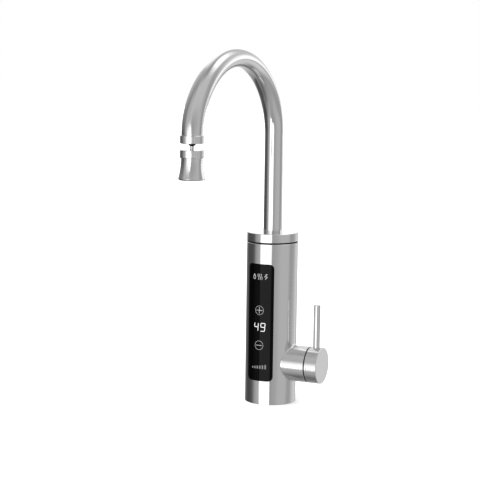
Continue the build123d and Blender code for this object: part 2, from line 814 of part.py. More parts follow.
with BuildPart() as spout_nipple:
    bar(level(nipple_low), middle, nipple_radius, riser_foot - nipple_low)
    bar(level(riser_foot), middle, riser_radius - spout_wall, nipple_top - riser_foot)
    bar(level(nipple_low), middle, nipple_bore, nipple_top - nipple_low, Mode.SUBTRACT)
    for groove_low in nipple_groove_lows:
        ring(level(groove_low), middle, nipple_radius, nipple_groove_radius, nipple_groove_width,
             Mode.SUBTRACT)
spout_nipple.part.label = "spout_nipple"

with BuildPart() as spout_seals:
    for groove_low in nipple_groove_lows:
        ring(level(groove_low), middle, nipple_radius, nipple_groove_radius, nipple_groove_width)
spout_seals.part.label = "spout_seals"

# Knurled collar at the spout's end, with the socket of the ball joint
with BuildPart() as outlet_collar:
    bar(level(collar_bottom), tip_place, collar_radius, collar_top - collar_bottom)
    chamfer(outlet_collar.edges().filter_by(GeomType.CIRCLE), edge_break)
    flutes(tip_place, collar_bottom, collar_top)
    bar(level(collar_seat_top), tip_place, tip_radius + axial_gap, collar_top - collar_seat_top,
        Mode.SUBTRACT)
    bar(level(collar_web_top), tip_place, seat_bore_radius, collar_seat_top - collar_web_top,
        Mode.SUBTRACT)
    with Locations((*tip_place, ball_height)):
        Sphere(ball_radius + running_gap, mode=Mode.SUBTRACT)
outlet_collar.part.label = "outlet_collar"

with BuildPart() as ball_seat:
    bar(level(seat_low), tip_place, seat_radius, seat_high - seat_low)
    with Locations((*tip_place, ball_height)):
        Sphere(ball_radius + running_gap, mode=Mode.SUBTRACT)
ball_seat.part.label = "ball_seat"

with BuildPart() as swivel_ball:
    with Locations((*tip_place, ball_height)):
        Sphere(ball_radius)
    bar(level(ball_height - ball_radius), tip_place, stem_radius, stem_top - ball_height + ball_radius,
        Mode.SUBTRACT)
    bar(level(stem_top), tip_place, stem_bore, ball_height + ball_radius - stem_top, Mode.SUBTRACT)
swivel_ball.part.label = "swivel_ball"

# Spray head
with BuildPart() as ball_stem:
    bar(level(stem_flange_low), tip_place, stem_flange_radius, ring_wall_low - stem_flange_low)
    bar(level(ring_wall_low), tip_place, stem_radius, stem_top - ring_wall_low)
    bar(level(stem_flange_low), tip_place, stem_bore, stem_top - stem_flange_low, Mode.SUBTRACT)
ball_stem.part.label = "ball_stem"

with BuildPart() as aerator_ring:
    bar(level(ring_bottom), tip_place, collar_radius, ring_top - ring_bottom)
    chamfer(aerator_ring.edges().filter_by(GeomType.CIRCLE), edge_break)
    flutes(tip_place, ring_bottom, ring_top)
    bar(level(ring_bottom), tip_place, ring_bore, ring_wall_low - ring_bottom, Mode.SUBTRACT)
    bar(level(ring_wall_low), tip_place, stem_radius, ring_top - ring_wall_low, Mode.SUBTRACT)
aerator_ring.part.label = "aerator_ring"

# Bell: the flare is one arc that leaves the waist upright, and the lip is rounded
with BuildPart() as aerator_bell:
    with BuildSketch(Plane.XZ.offset(-tip_place[1])):
        with BuildLine():
            lip_turn = (bell_lip_radius - (bell_lip_height - bell_bottom), bell_bottom)
            Polyline((bell_waist_radius, ring_bottom), (bell_neck_radius, ring_bottom),
                     (bell_neck_radius, bell_neck_top), (bell_neck_bore, bell_neck_top),
                     (bell_neck_bore, ring_bottom), (bell_throat_radius, bell_throat_height),
                     (bell_mouth_radius, bell_mouth_top), (bell_mouth_radius, bell_bottom), lip_turn)
            RadiusArc(lip_turn, (bell_lip_radius, bell_lip_height), -(bell_lip_height - bell_bottom))
            RadiusArc((bell_lip_radius, bell_lip_height), (bell_waist_radius, ring_bottom),
                      bell_flare_radius)
        make_face()
    revolve(axis=Axis((*tip_place, 0), (0, 0, 1)))
aerator_bell.part.label = "aerator_bell"

with BuildPart() as aerator_core:
    bar(level(core_low), tip_place, core_radius, core_high - core_low)
    bars_on_circle(level(core_low), tip_place, core_hole_circle, core_hole_count, core_hole_radius,
                   core_high - core_low, mode=Mode.SUBTRACT)
aerator_core.part.label = "aerator_core"

with BuildPart() as spray_plate:
    bar(level(spray_low), tip_place, spray_radius, spray_high - spray_low)
    for circle, count in zip(spray_rings, spray_counts):
        bars_on_circle(level(spray_low), tip_place, circle, count, spray_hole_radius,
                       spray_high - spray_low, mode=Mode.SUBTRACT)
spray_plate.part.label = "spray_plate"

pieces = [
    housing_shell, top_cap, cap_seal_ring, display_window, display_board, digit_module, touch_pads,
    board_bracket, control_board, control_components, valve_body, fixed_disc, valve_cartridge,
    cartridge_nut, branch_seam_ring, triac, inlet_socket, inlet_seal, inlet_filter, base_plate,
    base_gasket, base_screws, cord_gland, terminal_block, flow_switch_body, flow_float,
    heating_chamber, chamber_gasket, chamber_lid, heating_element, element_terminals, thermal_cutout,
    temperature_probe, earth_screw, spout_socket, socket_seal, socket_screws, slip_washers,
    moving_disc, cartridge_spindle, spindle_seal, handle_knob, knob_set_screw, lever_rod, spout_tube,
    spout_collar, spout_nipple, spout_seals, outlet_collar, ball_seat, swivel_ball, ball_stem,
    aerator_ring, aerator_bell, aerator_core, spray_plate,
]
os.makedirs("parts", exist_ok=True)
for piece in pieces:
    export_step(piece.part, f"parts/{piece.part.label}.step")
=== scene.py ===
import json
import bpy
import numpy as np
from math import cos, pi, radians, sin
from mathutils import Matrix, Vector


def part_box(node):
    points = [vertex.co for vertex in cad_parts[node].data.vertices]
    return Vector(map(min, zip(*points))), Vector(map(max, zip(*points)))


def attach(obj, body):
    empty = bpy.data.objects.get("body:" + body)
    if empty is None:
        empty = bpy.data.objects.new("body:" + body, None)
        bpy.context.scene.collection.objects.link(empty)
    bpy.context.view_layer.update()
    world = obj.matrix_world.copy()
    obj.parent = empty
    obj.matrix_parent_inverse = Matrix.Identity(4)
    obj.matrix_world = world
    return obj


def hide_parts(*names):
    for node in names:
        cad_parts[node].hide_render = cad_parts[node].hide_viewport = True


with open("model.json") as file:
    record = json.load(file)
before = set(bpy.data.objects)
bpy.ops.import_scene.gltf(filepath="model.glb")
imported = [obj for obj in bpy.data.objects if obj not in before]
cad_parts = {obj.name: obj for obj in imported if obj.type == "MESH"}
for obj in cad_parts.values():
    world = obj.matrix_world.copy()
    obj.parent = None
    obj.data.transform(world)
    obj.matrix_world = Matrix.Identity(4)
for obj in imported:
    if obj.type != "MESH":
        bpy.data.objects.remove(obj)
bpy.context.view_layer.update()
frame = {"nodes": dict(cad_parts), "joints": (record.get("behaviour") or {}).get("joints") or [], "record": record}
nodes = frame["nodes"]
joints = {joint["name"]: joint for joint in frame["joints"]}
slotOf = {part["node"]: part["material_slot"] for part in frame["record"]["subparts"]}
mm = 0.001
micron = 0.001 * mm
mmPerMetre = 1000.0
upright = Vector((0, 0, 1))
towardsFront = Vector((0, -1, 0))
bodyPoint = Vector((0, 0, 0))
valveAxis = Vector(joints["handle_turn"]["axis"]).normalized()
valveMiddle = Vector(joints["handle_turn"]["pos_m"])
tipPlace = Vector(joints["ball_turn"]["pos_m"])
leverPoint = Vector((valveMiddle.x, valveMiddle.y, 0))
tipPoint = Vector((tipPlace.x, tipPlace.y, 0))
print("frame loaded:", len(nodes), "nodes")

# Camera at the photograph's place, a long lens that looks slightly down
cameraSetup = {
    "azimuth": 0.4875,      # radians round the body, from its front towards the lever
    "distance": 1592.43,    # mm from the body's axis
    "height": 387.47,       # mm above the deck
    "yaw": 0.5094,          # radians, as are pitch and roll
    "pitch": 0.1334,
    "roll": -0.013,
    "lens": 112.5,          # mm, for a sensor of the width below
    "sensor": 36.0,
    "clipStart": 0.01,      # metres
}


def addCamera(setup):
    yaw, pitch, roll = setup["yaw"], setup["pitch"], setup["roll"]
    ahead = Vector((-sin(yaw) * cos(pitch), cos(yaw) * cos(pitch), -sin(pitch)))
    right = Vector((cos(yaw), sin(yaw), 0))
    up = right.cross(ahead)
    tiltedRight = right * cos(roll) - up * sin(roll)
    tiltedUp = right * sin(roll) + up * cos(roll)
    place = Vector((setup["distance"] * sin(setup["azimuth"]),
                    -setup["distance"] * cos(setup["azimuth"]), setup["height"])) * mm
    data = bpy.data.cameras.new("photoCamera")
    data.lens = setup["lens"]
    data.sensor_width = setup["sensor"]
    data.clip_start = setup["clipStart"]
    camera = bpy.data.objects.new("photoCamera", data)
    turn = Matrix((tiltedRight, tiltedUp, -ahead)).transposed()
    camera.matrix_world = Matrix.Translation(place) @ turn.to_4x4()
    bpy.context.scene.collection.objects.link(camera)
    bpy.context.scene.camera = camera


addCamera(cameraSetup)
bpy.context.scene.view_settings.view_transform = "Standard"
print("camera placed")


# Short forms for building node trees
nodeSpacing = 40


def node(tree, kind, x=0, **settings):
    made = tree.nodes.new(kind)
    made.location = (x, -nodeSpacing * len(tree.nodes))
    for key, value in settings.items():
        setattr(made, key, value)
    return made


def feed(tree, socket, value):
    # a socket takes either another node's output or a fixed value
    if isinstance(value, bpy.types.NodeSocket):
        tree.links.new(value, socket)
    else:
        socket.default_value = value


def calc(tree, operation, *values, x=0, clamp=False):
    made = node(tree, "ShaderNodeMath", x, operation=operation, use_clamp=clamp)
    for index, value in enumerate(values):
        feed(tree, made.inputs[index], value)
    return made.outputs[0]


def vector(tree, operation, *values, x=0):
    made = node(tree, "ShaderNodeVectorMath", x, operation=operation)
    for index, value in enumerate(values):
        feed(tree, made.inputs[index], value)
    return made.outputs["Value" if operation == "DOT_PRODUCT" else "Vector"]


def blendOf(tree, kind, factor, first, second, x=0):
    # mixes two numbers, vectors or colours; the Mix node keeps a socket of each name for every kind
    place = {"FLOAT": (2, 3, 0), "VECTOR": (4, 5, 1), "RGBA": (6, 7, 2)}[kind]
    made = node(tree, "ShaderNodeMix", x, data_type=kind)
    feed(tree, made.inputs[0], factor)
    feed(tree, made.inputs[place[0]], first)
    feed(tree, made.inputs[place[1]], second)
    return made.outputs[place[2]]


def spread(tree, value, fromLow, fromHigh, toLow, toHigh, x=0, smooth=False):
    made = node(tree, "ShaderNodeMapRange", x, interpolation_type="SMOOTHSTEP" if smooth else "LINEAR")
    feed(tree, made.inputs["Value"], value)
    limits = (fromLow, fromHigh, toLow, toHigh)
    for label, limit in zip(("From Min", "From Max", "To Min", "To Max"), limits):
        feed(tree, made.inputs[label], limit)
    return made.outputs["Result"]


def newGroup(name, inputs, outputs):
    # inputs are (label, kind, value) and outputs are (label, kind)
    tree = bpy.data.node_groups.new(name, "ShaderNodeTree")
    for label, kind, value in inputs:
        socket = tree.interface.new_socket(label, in_out="INPUT", socket_type="NodeSocket" + kind)
        socket.default_value = value
    for label, kind in outputs:
        tree.interface.new_socket(label, in_out="OUTPUT", socket_type="NodeSocket" + kind)
    return tree, node(tree, "NodeGroupInput", -900), node(tree, "NodeGroupOutput", 900)


def useGroup(tree, group, x=0, **values):
    made = node(tree, "ShaderNodeGroup", x, node_tree=group)
    for label, value in values.items():
        feed(tree, made.inputs[label], value)
    return made.outputs


def addBump(tree, shader, height, distance):
    bump = node(tree, "ShaderNodeBump", -200)
    bump.inputs["Distance"].default_value = distance
    tree.links.new(height, bump.inputs["Height"])
    tree.links.new(bump.outputs[0], shader.inputs["Normal"])


def shaded(colour, level=1.0):
    # a colour with its alpha, darkened or lightened
    return (*(channel * level for channel in colour), 1)


# Soft panels round the tap. Angles are in degrees, from the camera's side: azimuth, elevation,
# half width, half height, roll, softness of the upright and the level edges, brightness
studio = {
    "turn": 27.93,
    "ambient": (0.428, -0.135, -0.328, 0.290),     # middle level, and its slope up, right and back
    "backdrop": 1.0,
    "floorLight": 2.2,
    "leastEdge": 0.5,       # degrees added to the softness of every edge
    "panels": {
        "lowDarkCard": (-111.6, -19.6, 37.6, 24.3, -49.2, 50.0, 29.2, 0.079),
        "highDarkCard": (-88.3, 20.1, 34.1, 31.8, 59.8, 27.6, 49.0, 0.283),
        "ceiling": (8.8, 38.5, 73.9, 42.1, 21.5, 31.7, 2.5, 0.656),
        "frontGrey": (11.7, 5.1, 33.2, 18.3, -16.2, 18.1, 50.0, 0.415),
        "rightGrey": (87.6, -12.4, 22.3, 68.6, 5.2, 50.0, 48.5, 0.448),
        "upperBackBox": (133.5, 60.1, 15.4, 15.1, -49.8, 50.0, 16.6, 2.465),
        "rightBackBox": (129.8, 11.9, 12.1, 15.3, -14.6, 50.0, 10.3, 2.616),
        "leftBackBox": (-168.9, 0.7, 13.0, 52.7, -8.7, 14.0, 50.0, 1.388),
        "backStrip": (148.4, 3.0, 33.1, 7.3, -0.8, 30.1, 5.8, 1.501),
        "lowBack": (126.6, -26.4, 22.1, 19.4, 26.0, 18.0, 25.0, 0.849),
        "lowFront": (32.5, -28.2, 29.8, 35.3, -22.6, 49.2, 41.2, 0.559),
        "lowLeftBack": (-169.4, -73.0, 46.0, 16.0, -25.9, 50.0, 49.8, 0.103),
        "rightFront": (54.6, -7.6, 27.6, 15.4, 26.1, 15.8, 8.1, 0.594),
        "leftGrey": (-66.2, 25.9, 12.0, 29.0, 5.4, 37.9, 11.9, 0.611),
        "sideDarkCard": (-124.7, -11.7, 39.2, 11.2, 6.2, 18.9, 31.7, 0.082),
        "leftHighEdge": (-55.9, 39.2, 26.1, 5.1, -54.7, 8.7, 1.4, 0.567),
        "ceilingFront": (16.5, 67.1, 33.3, 16.1, -24.1, 0.0, 31.2, 0.679),
        "rightBackWall": (138.9, 27.5, 31.5, 15.6, -36.1, 24.1, 37.6, 0.730),
        "frontGlow": (16.3, -11.9, 12.2, 4.0, 8.2, 36.2, 3.1, 0.488),
        "leftBackFloor": (-164.3, -34.3, 19.2, 20.2, 10.1, 50.0, 18.9, 0.340),
        "lowLeftCard": (-134.0, -42.0, 17.0, 19.0, 0.0, 8.0, 14.0, 0.10),
        "lowBackGlow": (141.0, -57.0, 11.0, 9.0, 0.0, 5.0, 6.0, 0.64),
        "mainFoot": (-11.0, -14.5, 6.0, 4.5, 0.0, 3.0, 5.0, 1.9),
        "mainGlow": (-40.5, 6.2, 16.9, 2.7, 21.3, 12.8, 26.1, 1.712),
        "mainBox": (-28.6, -8.5, 22.7, 14.6, 30.4, 4.0, 6.0, 1.9),
    },
}


def aim(azimuth, elevation):
    # Unit vector of a direction, with azimuth 0 towards -Y and growing towards +X
    a, e = radians(azimuth), radians(elevation)
    return Vector((sin(a) * cos(e), -cos(a) * cos(e), sin(e)))


def softPanelGroup():
    # 1 inside the panel and 0 outside: each side is a smooth step of the angle from the centre
    tree, given, out = newGroup(
        "softPanel",
        [("Direction", "Vector", (0, 0, 1)), ("Centre", "Vector", (0, 0, 1)),
         ("Right", "Vector", (1, 0, 0)), ("Up", "Vector", (0, 1, 0)),
         ("HalfWidth", "Float", 0.3), ("HalfHeight", "Float", 0.3),
         ("SideEdge", "Float", 0.1), ("LevelEdge", "Float", 0.1)],
        [("Mask", "Float")])
    towards = vector(tree, "DOT_PRODUCT", given.outputs["Direction"], given.outputs["Centre"], x=-700)
    inside = []
    for axis, half, edge in (("Right", "HalfWidth", "SideEdge"), ("Up", "HalfHeight", "LevelEdge")):
        offset = vector(tree, "DOT_PRODUCT", given.outputs["Direction"], given.outputs[axis], x=-700)
        angle = calc(tree, "ABSOLUTE", calc(tree, "ARCTAN2", offset, towards, x=-500), x=-350)
        within = calc(tree, "SUBTRACT", given.outputs[half], angle, x=-200)
        step = calc(tree, "DIVIDE", within, given.outputs[edge], x=-50)
        inside.append(spread(tree, step, -0.5, 0.5, 0.0, 1.0, x=150, smooth=True))
    tree.links.new(calc(tree, "MULTIPLY", *inside, x=500), out.inputs["Mask"])
    return tree


def buildStudio(setup):
    world = bpy.data.worlds.new("studio")
    bpy.context.scene.world = world
    world.use_nodes = True
    tree = world.node_tree
    tree.nodes.clear()
    where = node(tree, "ShaderNodeTexCoord", -1600)
    turned = node(tree, "ShaderNodeVectorRotate", -1400, rotation_type="Z_AXIS")
    tree.links.new(where.outputs["Generated"], turned.inputs["Vector"])
    turned.inputs["Angle"].default_value = radians(-setup["turn"])
    direction = turned.outputs["Vector"]
    middle, up, right, back = setup["ambient"]
    sloped = vector(tree, "DOT_PRODUCT", direction, (right, back, up), x=-1200)
    level = calc(tree, "ADD", sloped, middle, x=-1100)
    group = softPanelGroup()
    for panel in setup["panels"].values():
        azimuth, elevation, halfWidth, halfHeight, roll, sideEdge, levelEdge, brightness = panel
        centre = aim(azimuth, elevation)
        levelLine = Vector((cos(radians(azimuth)), sin(radians(azimuth)), 0))
        steepLine = centre.cross(levelLine)
        if steepLine.z < 0:
            steepLine = -steepLine
        turn = radians(roll)
        mask = useGroup(tree, group, -900, Direction=direction, Centre=centre,
                        Right=levelLine * cos(turn) + steepLine * sin(turn),
                        Up=steepLine * cos(turn) - levelLine * sin(turn),
                        HalfWidth=radians(halfWidth), HalfHeight=radians(halfHeight),
                        SideEdge=radians(sideEdge + setup["leastEdge"]),
                        LevelEdge=radians(levelEdge + setup["leastEdge"]))
        level = blendOf(tree, "FLOAT", mask["Mask"], level, brightness, x=-600)
    rays = node(tree, "ShaderNodeLightPath", -400)
    lit = blendOf(tree, "FLOAT", rays.outputs["Is Diffuse Ray"], level, setup["floorLight"], x=-100)
    seen = blendOf(tree, "FLOAT", rays.outputs["Is Camera Ray"], lit, setup["backdrop"], x=100)
    background = node(tree, "ShaderNodeBackground", 300)
    background.inputs["Color"].default_value = (1, 1, 1, 1)
    tree.links.new(seen, background.inputs["Strength"])
    out = node(tree, "ShaderNodeOutputWorld", 500)
    tree.links.new(background.outputs[0], out.inputs["Surface"])


buildStudio(studio)
print("studio built:", len(studio["panels"]), "panels")


# Shared effects. Each layer of the brushed grain is a noise with its own detail and offset
grainSetup = {
    "scratch": {"detail": 2.0, "offset": 0.0},
    "ripple": {"detail": 1.0, "offset": 7.3},
    "smear": {"detail": 2.0, "offset": 3.1},
    "smearLength": 60.0,        # mm along the brushing line
    "smearWidth": 24.0,
}


def brushedGroup(setup):
    # Scratches: noise stretched along the brushing line, fine ones over a slower ripple.
    # Around and Along are distances over the surface in mm, depths and Height are in thousandths of a mm
    tree, given, out = newGroup(
        "brushedGrain",
        [("Around", "Float", 0.0), ("Along", "Float", 0.0), ("ScratchLength", "Float", 12.0),
         ("ScratchWidth", "Float", 0.12), ("ScratchDepth", "Float", 0.3), ("RippleLength", "Float", 9.0),
         ("RippleWidth", "Float", 1.6), ("RippleDepth", "Float", 4.0)],
        [("Height", "Float"), ("Smear", "Float")])

    def stretched(length, width, layer):
        place = node(tree, "ShaderNodeCombineXYZ", -500)
        feed(tree, place.inputs[0], calc(tree, "DIVIDE", given.outputs["Around"], length, x=-700))
        feed(tree, place.inputs[1], calc(tree, "DIVIDE", given.outputs["Along"], width, x=-700))
        feed(tree, place.inputs[2], layer["offset"])
        noise = node(tree, "ShaderNodeTexNoise", -300, noise_dimensions="3D")
        tree.links.new(place.outputs[0], noise.inputs["Vector"])
        noise.inputs["Scale"].default_value = 1.0
        noise.inputs["Detail"].default_value = layer["detail"]
        return noise.outputs[0]

    scratch = stretched(given.outputs["ScratchLength"], given.outputs["ScratchWidth"], setup["scratch"])
    ripple = stretched(given.outputs["RippleLength"], given.outputs["RippleWidth"], setup["ripple"])
    smear = stretched(setup["smearLength"], setup["smearWidth"], setup["smear"])
    height = calc(tree, "ADD", calc(tree, "MULTIPLY", scratch, given.outputs["ScratchDepth"], x=-50),
                  calc(tree, "MULTIPLY", ripple, given.outputs["RippleDepth"], x=-50), x=100)
    tree.links.new(height, out.inputs["Height"])
    tree.links.new(smear, out.inputs["Smear"])
    return tree


def mouldedGroup():
    # Moulded skin: a fine pebble for the bump and a slow mottle for the shade
    tree, given, out = newGroup(
        "mouldedGrain",
        [("Place", "Vector", (0, 0, 0)), ("PebbleSize", "Float", 0.4), ("MottleSize", "Float", 9.0)],
        [("Height", "Float"), ("Mottle", "Float")])
    found = []
    for size, detail in (("PebbleSize", 3.0), ("MottleSize", 2.0)):
        noise = node(tree, "ShaderNodeTexNoise", -300)
        tree.links.new(given.outputs["Place"], noise.inputs["Vector"])
        tree.links.new(calc(tree, "DIVIDE", mmPerMetre, given.outputs[size], x=-500), noise.inputs["Scale"])
        noise.inputs["Detail"].default_value = detail
        found.append(noise.outputs[0])
    tree.links.new(found[0], out.inputs["Height"])
    tree.links.new(found[1], out.inputs["Mottle"])
    return tree


def tracesGroup():
    # Circuit board: copper lines and pads under the solder mask. PadReach and LineReach are shares of
    # Pitch, which is in mm
    tree, given, out = newGroup(
        "copperTraces",
        [("Place", "Vector", (0, 0, 0)), ("Pitch", "Float", 2.2), ("PadReach", "Float", 0.16),
         ("LineReach", "Float", 0.06)],
        [("Copper", "Float")])
    scaled = vector(tree, "SCALE", given.outputs["Place"], x=-700)
    scale = calc(tree, "DIVIDE", mmPerMetre, given.outputs["Pitch"], x=-800)
    tree.links.new(scale, scaled.node.inputs["Scale"])
    cells = node(tree, "ShaderNodeTexVoronoi", -400, feature="F1", distance="CHEBYCHEV")
    tree.links.new(scaled, cells.inputs["Vector"])
    edges = node(tree, "ShaderNodeTexVoronoi", -400, feature="DISTANCE_TO_EDGE")
    tree.links.new(scaled, edges.inputs["Vector"])
    pads = calc(tree, "LESS_THAN", cells.outputs["Distance"], given.outputs["PadReach"], x=-100)
    lines = calc(tree, "LESS_THAN", edges.outputs["Distance"], given.outputs["LineReach"], x=-100)
    tree.links.new(calc(tree, "MAXIMUM", pads, lines, x=200), out.inputs["Copper"])
    return tree


brushedGrain = brushedGroup(grainSetup)
mouldedGrain = mouldedGroup()
copperTraces = tracesGroup()


def newMaterial(name, colour, roughness, metallic=0.0):
    material = bpy.data.materials.new(name)
    material.use_nodes = True
    tree = material.node_tree
    shader = tree.nodes["Principled BSDF"]
    shader.inputs["Base Color"].default_value = (*colour, 1)
    shader.inputs["Roughness"].default_value = roughness
    shader.inputs["Metallic"].default_value = metallic
    return material, tree, shader


flatEndFacing = 0.9     # cosine to the axis past which a face counts as a flat end


def turnedPlace(tree, coordinates, point, axis, start):
    # For a piece turned about an axis: the distances round it and along it in mm, the direction round it
    # and the distance from the axis. Along adds that distance, so on a flat end the scratches become rings
    side = axis.cross(start)
    offset = vector(tree, "SUBTRACT", coordinates.outputs["Object"], point, x=-1500)
    length = vector(tree, "DOT_PRODUCT", offset, axis, x=-1300)
    first = vector(tree, "DOT_PRODUCT", offset, start, x=-1300)
    second = vector(tree, "DOT_PRODUCT", offset, side, x=-1300)
    squares = calc(tree, "ADD", calc(tree, "MULTIPLY", first, first, x=-1150),
                   calc(tree, "MULTIPLY", second, second, x=-1150), x=-1050)
    distance = calc(tree, "SQRT", squares, x=-950)
    angle = calc(tree, "ARCTAN2", second, first, x=-1150)
    around = calc(tree, "MULTIPLY", calc(tree, "MULTIPLY", angle, distance, x=-850), mmPerMetre, x=-800)
    along = calc(tree, "MULTIPLY", calc(tree, "ADD", length, distance, x=-850), mmPerMetre, x=-800)
    direction = vector(tree, "CROSS_PRODUCT", axis, offset, x=-1300)
    facing = vector(tree, "DOT_PRODUCT", coordinates.outputs["Normal"], axis, x=-1300)
    flatEnd = calc(tree, "GREATER_THAN", calc(tree, "ABSOLUTE", facing, x=-1150), flatEndFacing, x=-1050)
    unit = vector(tree, "NORMALIZE", direction, x=-1150)
    tangent = blendOf(tree, "VECTOR", flatEnd, unit, start, x=-900)
    return {"around": around, "along": along, "tangent": tangent, "distance": distance}


# Satin steel: brushed round the turned pieces, so reflections are drawn out along them
steelFinish = {
    "colour": (0.70, 0.70, 0.70),
    "roughness": 0.09,
    "roughnessSpread": 0.02,
    "smearRange": (0.25, 0.75), # part of the smear noise that the roughness follows
    "anisotropic": 0.6,
    "grainTurn": 0.25,          # of a full turn, from the tangent
    "scratchLength": 14.0,      # mm, as are the other lengths and widths
    "scratchWidth": 0.12,
    "scratchDepth": 0.4,        # thousandths of a mm, as is the ripple's
    "rippleLength": 9.0,
    "rippleWidth": 1.6,
    "rippleDepth": 55.0,
    "branchClearance": 0.4,     # mm outside the body tube, past which the branch's own brushing shows
}


def steelShader(finish, around, along, tangent, tree, shader):
    grain = useGroup(tree, brushedGrain, -500, Around=around, Along=along,
                     ScratchLength=finish["scratchLength"], ScratchWidth=finish["scratchWidth"],
                     ScratchDepth=finish["scratchDepth"], RippleLength=finish["rippleLength"],
                     RippleWidth=finish["rippleWidth"], RippleDepth=finish["rippleDepth"])
    addBump(tree, shader, grain["Height"], micron)
    low = finish["roughness"] - finish["roughnessSpread"]
    high = finish["roughness"] + finish["roughnessSpread"]
    tree.links.new(spread(tree, grain["Smear"], *finish["smearRange"], low, high, x=-200),
                   shader.inputs["Roughness"])
    shader.inputs["Anisotropic"].default_value = finish["anisotropic"]
    shader.inputs["Anisotropic Rotation"].default_value = finish["grainTurn"]
    tree.links.new(tangent, shader.inputs["Tangent"])


def turnedSteel(name, point, axis, start, **changes):
    finish = {**steelFinish, **changes}
    material, tree, shader = newMaterial(name, finish["colour"], finish["roughness"], 1.0)
    coordinates = node(tree, "ShaderNodeTexCoord", -1800)
    place = turnedPlace(tree, coordinates, point, axis, start)
    toWorld = node(tree, "ShaderNodeVectorTransform", -300, vector_type="VECTOR",
                   convert_from="OBJECT", convert_to="WORLD")
    tree.links.new(place["tangent"], toWorld.inputs[0])
    steelShader(finish, place["around"], place["along"], toWorld.outputs[0], tree, shader)
    return material


def housingSteel(name):
    # The body and its branch are brushed about their own axes; the branch starts just outside the tube
    finish = steelFinish
    material, tree, shader = newMaterial(name, finish["colour"], finish["roughness"], 1.0)
    coordinates = node(tree, "ShaderNodeTexCoord", -1800)
    body = turnedPlace(tree, coordinates, bodyPoint, upright, towardsFront)
    branch = turnedPlace(tree, coordinates, valveMiddle, valveAxis, upright)
    tubeRadius = -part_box("top_cap")[0][0]
    edge = tubeRadius + finish["branchClearance"] * mm
    onBranch = calc(tree, "GREATER_THAN", body["distance"], edge, x=-700)
    around = blendOf(tree, "FLOAT", onBranch, body["around"], branch["around"], x=-650)
    along = blendOf(tree, "FLOAT", onBranch, body["along"], branch["along"], x=-650)
    tangent = blendOf(tree, "VECTOR", onBranch, body["tangent"], branch["tangent"], x=-650)
    steelShader(finish, around, along, tangent, tree, shader)
    return material


def tubeSteel(name):
    # The spout's own map holds the distance round it and along it, in metres
    finish = steelFinish
    material, tree, shader = newMaterial(name, finish["colour"], finish["roughness"], 1.0)
    laid = node(tree, "ShaderNodeUVMap", -1200, uv_map="laid")
    parts = node(tree, "ShaderNodeSeparateXYZ", -1000)
    tree.links.new(laid.outputs[0], parts.inputs[0])
    around = calc(tree, "MULTIPLY", parts.outputs[0], mmPerMetre, x=-800)
    along = calc(tree, "MULTIPLY", parts.outputs[1], mmPerMetre, x=-800)
    tangent = node(tree, "ShaderNodeTangent", -500, direction_type="UV_MAP", uv_map="laid")
    steelShader(finish, around, along, tangent.outputs[0], tree, shader)
    return material


# Turned metal inside the tap: rings of the cutting tool, no drawn-out reflections
machinedFinish = {
    "scratchLength": 40.0,      # mm
    "scratchWidth": 0.25,
    "scratchDepth": 3.0,        # thousandths of a mm, as is the ripple's
    "rippleDepth": 1.0,
    "darkShade": 0.8,           # of the colour, where the smear is darkest
}


def machined(name, colour, roughness, point, axis, start):
    finish = machinedFinish
    material, tree, shader = newMaterial(name, colour, roughness, 1.0)
    coordinates = node(tree, "ShaderNodeTexCoord", -1800)
    place = turnedPlace(tree, coordinates, point, axis, start)
    grain = useGroup(tree, brushedGrain, -500, Around=place["around"], Along=place["along"],
                     ScratchLength=finish["scratchLength"], ScratchWidth=finish["scratchWidth"],
                     ScratchDepth=finish["scratchDepth"], RippleDepth=finish["rippleDepth"])
    addBump(tree, shader, grain["Height"], micron)
    tree.links.new(blendOf(tree, "RGBA", grain["Smear"], shaded(colour, finish["darkShade"]),
                           shaded(colour), x=-200),
                   shader.inputs["Base Color"])
    return material


# Moulded plastic, rubber or fired ceramic: pebbled skin and a slight mottle
mouldedFinish = {
    "mottleRange": (0.3, 0.7),
    "shades": (0.88, 1.12),         # of the colour
    "roughnesses": (0.9, 1.1),      # of the roughness
}


def skinGrain(tree, group, **values):
    # A grain that fills space, cut by the piece's surface
    coordinates = node(tree, "ShaderNodeTexCoord", -1200)
    return useGroup(tree, group, -700, Place=coordinates.outputs["Object"], **values)


def moulded(name, colour, roughness, pebble=0.4, bumpHeight=0.01, specular=0.5):
    # Pebble and bump height are in mm
    finish = mouldedFinish
    material, tree, shader = newMaterial(name, colour, roughness)
    shader.inputs["Specular IOR Level"].default_value = specular
    grain = skinGrain(tree, mouldedGrain, PebbleSize=pebble)
    addBump(tree, shader, grain["Height"], bumpHeight * mm)
    dark, light = (shaded(colour, level) for level in finish["shades"])
    tree.links.new(blendOf(tree, "RGBA", grain["Mottle"], dark, light, x=-200),
                   shader.inputs["Base Color"])
    low, high = (roughness * level for level in finish["roughnesses"])
    tree.links.new(spread(tree, grain["Mottle"], *finish["mottleRange"], low, high, x=-200),
                   shader.inputs["Roughness"])
    return material


boardFinish = {
    "mask": (0.015, 0.10, 0.045),
    "maskRoughness": 0.35,
    "copper": (0.06, 0.24, 0.09),       # seen through the mask
    "copperRoughness": 0.25,
    "copperHeight": 0.03,               # mm
}


def boardMaterial(name, finish):
    material, tree, shader = newMaterial(name, finish["mask"], finish["maskRoughness"])
    copper = skinGrain(tree, copperTraces)["Copper"]
    tree.links.new(blendOf(tree, "RGBA", copper, shaded(finish["mask"]), shaded(finish["copper"]), x=-300),
                   shader.inputs["Base Color"])
    tree.links.new(spread(tree, copper, 0.0, 1.0, finish["maskRoughness"], finish["copperRoughness"], x=-300),
                   shader.inputs["Roughness"])
    addBump(tree, shader, copper, finish["copperHeight"] * mm)
    return material


